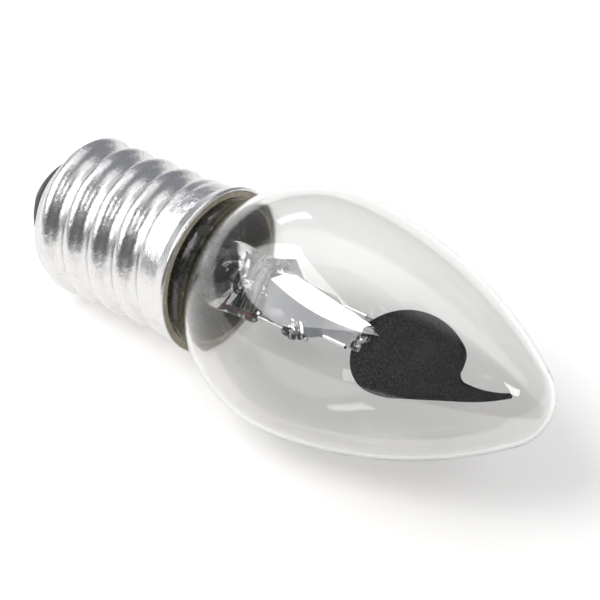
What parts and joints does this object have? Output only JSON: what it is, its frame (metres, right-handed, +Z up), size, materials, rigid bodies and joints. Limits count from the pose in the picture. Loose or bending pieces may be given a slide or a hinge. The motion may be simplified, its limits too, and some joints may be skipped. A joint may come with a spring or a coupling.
{
  "type": "clear flicker flame bulb",
  "caption": "Clear pointed glass bulb on a small Edison screw cap, with black flame-shaped plates on a glass stem inside, lying on its side.",
  "frame": {"origin": "centre of the footprint, on the surface that the bulb lies on", "axes": "+X from the cap to the bulb's tip, along the floor; +Z up; the bulb's own axis leans up from +X by 9.1 degrees"},
  "size_m": [0.0532, 0.021, 0.0212],
  "materials": {
    "clear_glass": "polished clear",
    "stem_glass": "polished clear",
    "cap_metal": "drawn, brushed round the axis",
    "black_insulator": "glossy black",
    "contact_metal": "bright",
    "solder": "satin",
    "cement": "matte, grainy",
    "seal_wire": "oxidised copper red",
    "lead_wire": "tinned",
    "resistor_body": "matte lacquer",
    "bare_plate": "bright rolled",
    "black_coat": "matte black",
    "weld_metal": "rough"
  },
  "bodies": {
    "root": {"glass_bulb": "clear_glass", "stem": "stem_glass", "exhaust_tube": "stem_glass", "screw_shell": "cap_metal", "insulator": "black_insulator", "centre_contact": "contact_metal", "contact_solder": "solder", "side_weld": "solder", "capping_cement": "cement", "lead_to_shell": "lead_wire", "lead_to_resistor": "lead_wire", "lead_to_contact": "lead_wire", "ballast_resistor": "resistor_body", "seal_wire_upper": "seal_wire", "seal_wire_lower": "seal_wire", "seal_weld_front": "weld_metal", "seal_weld_rear": "weld_metal", "shank_front": "bare_plate", "shank_rear": "bare_plate", "flame_front": "black_coat", "flame_rear": "black_coat", "flame_weld_front": "weld_metal", "flame_weld_rear": "weld_metal"}
  },
  "joints": []
}
